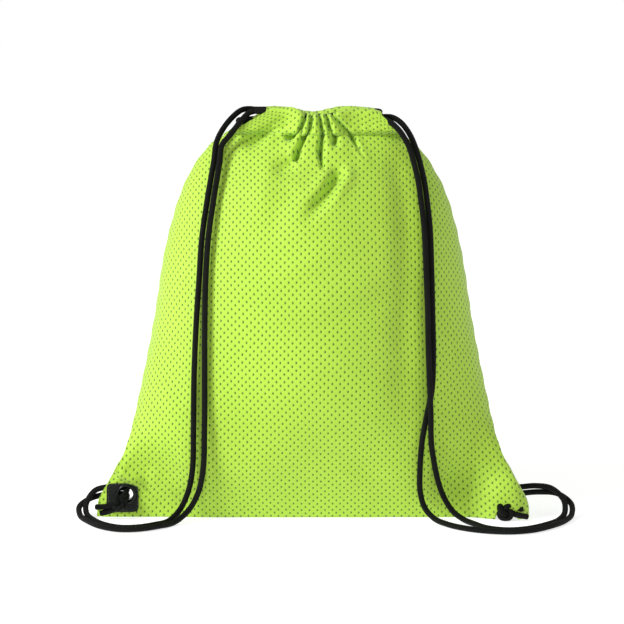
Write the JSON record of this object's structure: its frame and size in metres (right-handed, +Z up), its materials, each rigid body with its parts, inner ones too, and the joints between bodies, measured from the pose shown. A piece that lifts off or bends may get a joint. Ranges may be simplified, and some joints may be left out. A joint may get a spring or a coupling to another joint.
{
  "type": "drawstring backpack",
  "caption": "Stuffed drawstring backpack of perforated cloth: a gathered mouth on two cords that form both shoulder straps and are knotted through corner eyelets.",
  "frame": {"origin": "on the floor, in the middle of the bag's length and depth", "axes": "+X to the right seen from the strap side, -Y towards the strap side, +Z up"},
  "size_m": [0.3923, 0.1756, 0.3202],
  "materials": {
    "cloth": "matt perforated polyester mesh",
    "thread": "spun polyester thread",
    "cord": "braided polyester, slight sheen",
    "patch": "coated woven reinforcement, matt",
    "eyelet": "black nickel, polished"
  },
  "bodies": {
    "bag": {"front_panel": "cloth", "back_panel": "cloth", "left_seam_allowance": "cloth", "right_seam_allowance": "cloth", "bottom_seam_allowance": "cloth", "left_front_patch": "patch", "left_back_patch": "patch", "left_eyelet": "eyelet", "left_eyelet_washer": "eyelet", "left_cord_bight": "cord", "left_shoulder_front_strand": "cord", "left_shoulder_back_strand": "cord", "left_knot": "cord", "right_front_patch": "patch", "right_back_patch": "patch", "right_eyelet": "eyelet", "right_eyelet_washer": "eyelet", "right_cord_bight": "cord", "right_shoulder_front_strand": "cord", "right_shoulder_back_strand": "cord", "right_knot": "cord"},
    "front_rim": {"front_rim": "cloth", "front_rim_thread": "thread", "left_cord_front_run": "cord", "right_cord_front_run": "cord"},
    "back_rim": {"back_rim": "cloth", "back_rim_thread": "thread", "left_cord_back_run": "cord", "right_cord_back_run": "cord"},
    "left_strap": {"left_strap_front_strand": "cord", "left_strap_back_strand": "cord"},
    "right_strap": {"right_strap_front_strand": "cord", "right_strap_back_strand": "cord"}
  },
  "joints": [
    {"name": "left_strap_swing", "type": "hinge", "parent": "bag", "child": "left_strap", "pos_m": [-0.073, -0.0184, 0.292], "axis": [-0.2934, -0.0433, -0.955], "range_deg": [0, 50]},
    {"name": "right_strap_swing", "type": "hinge", "parent": "bag", "child": "right_strap", "pos_m": [0.077, -0.0193, 0.2898], "axis": [-0.2827, 0.0406, 0.9583], "range_deg": [0, 50]},
    {"name": "front_rim_tip", "type": "hinge", "parent": "bag", "child": "front_rim", "pos_m": [0, -0.0065, 0.301], "axis": [1, 0, 0], "range_deg": [0, 20]},
    {"name": "back_rim_tip", "type": "hinge", "parent": "bag", "child": "back_rim", "pos_m": [0, 0.0065, 0.301], "axis": [-1, 0, 0], "range_deg": [0, 20]}
  ]
}
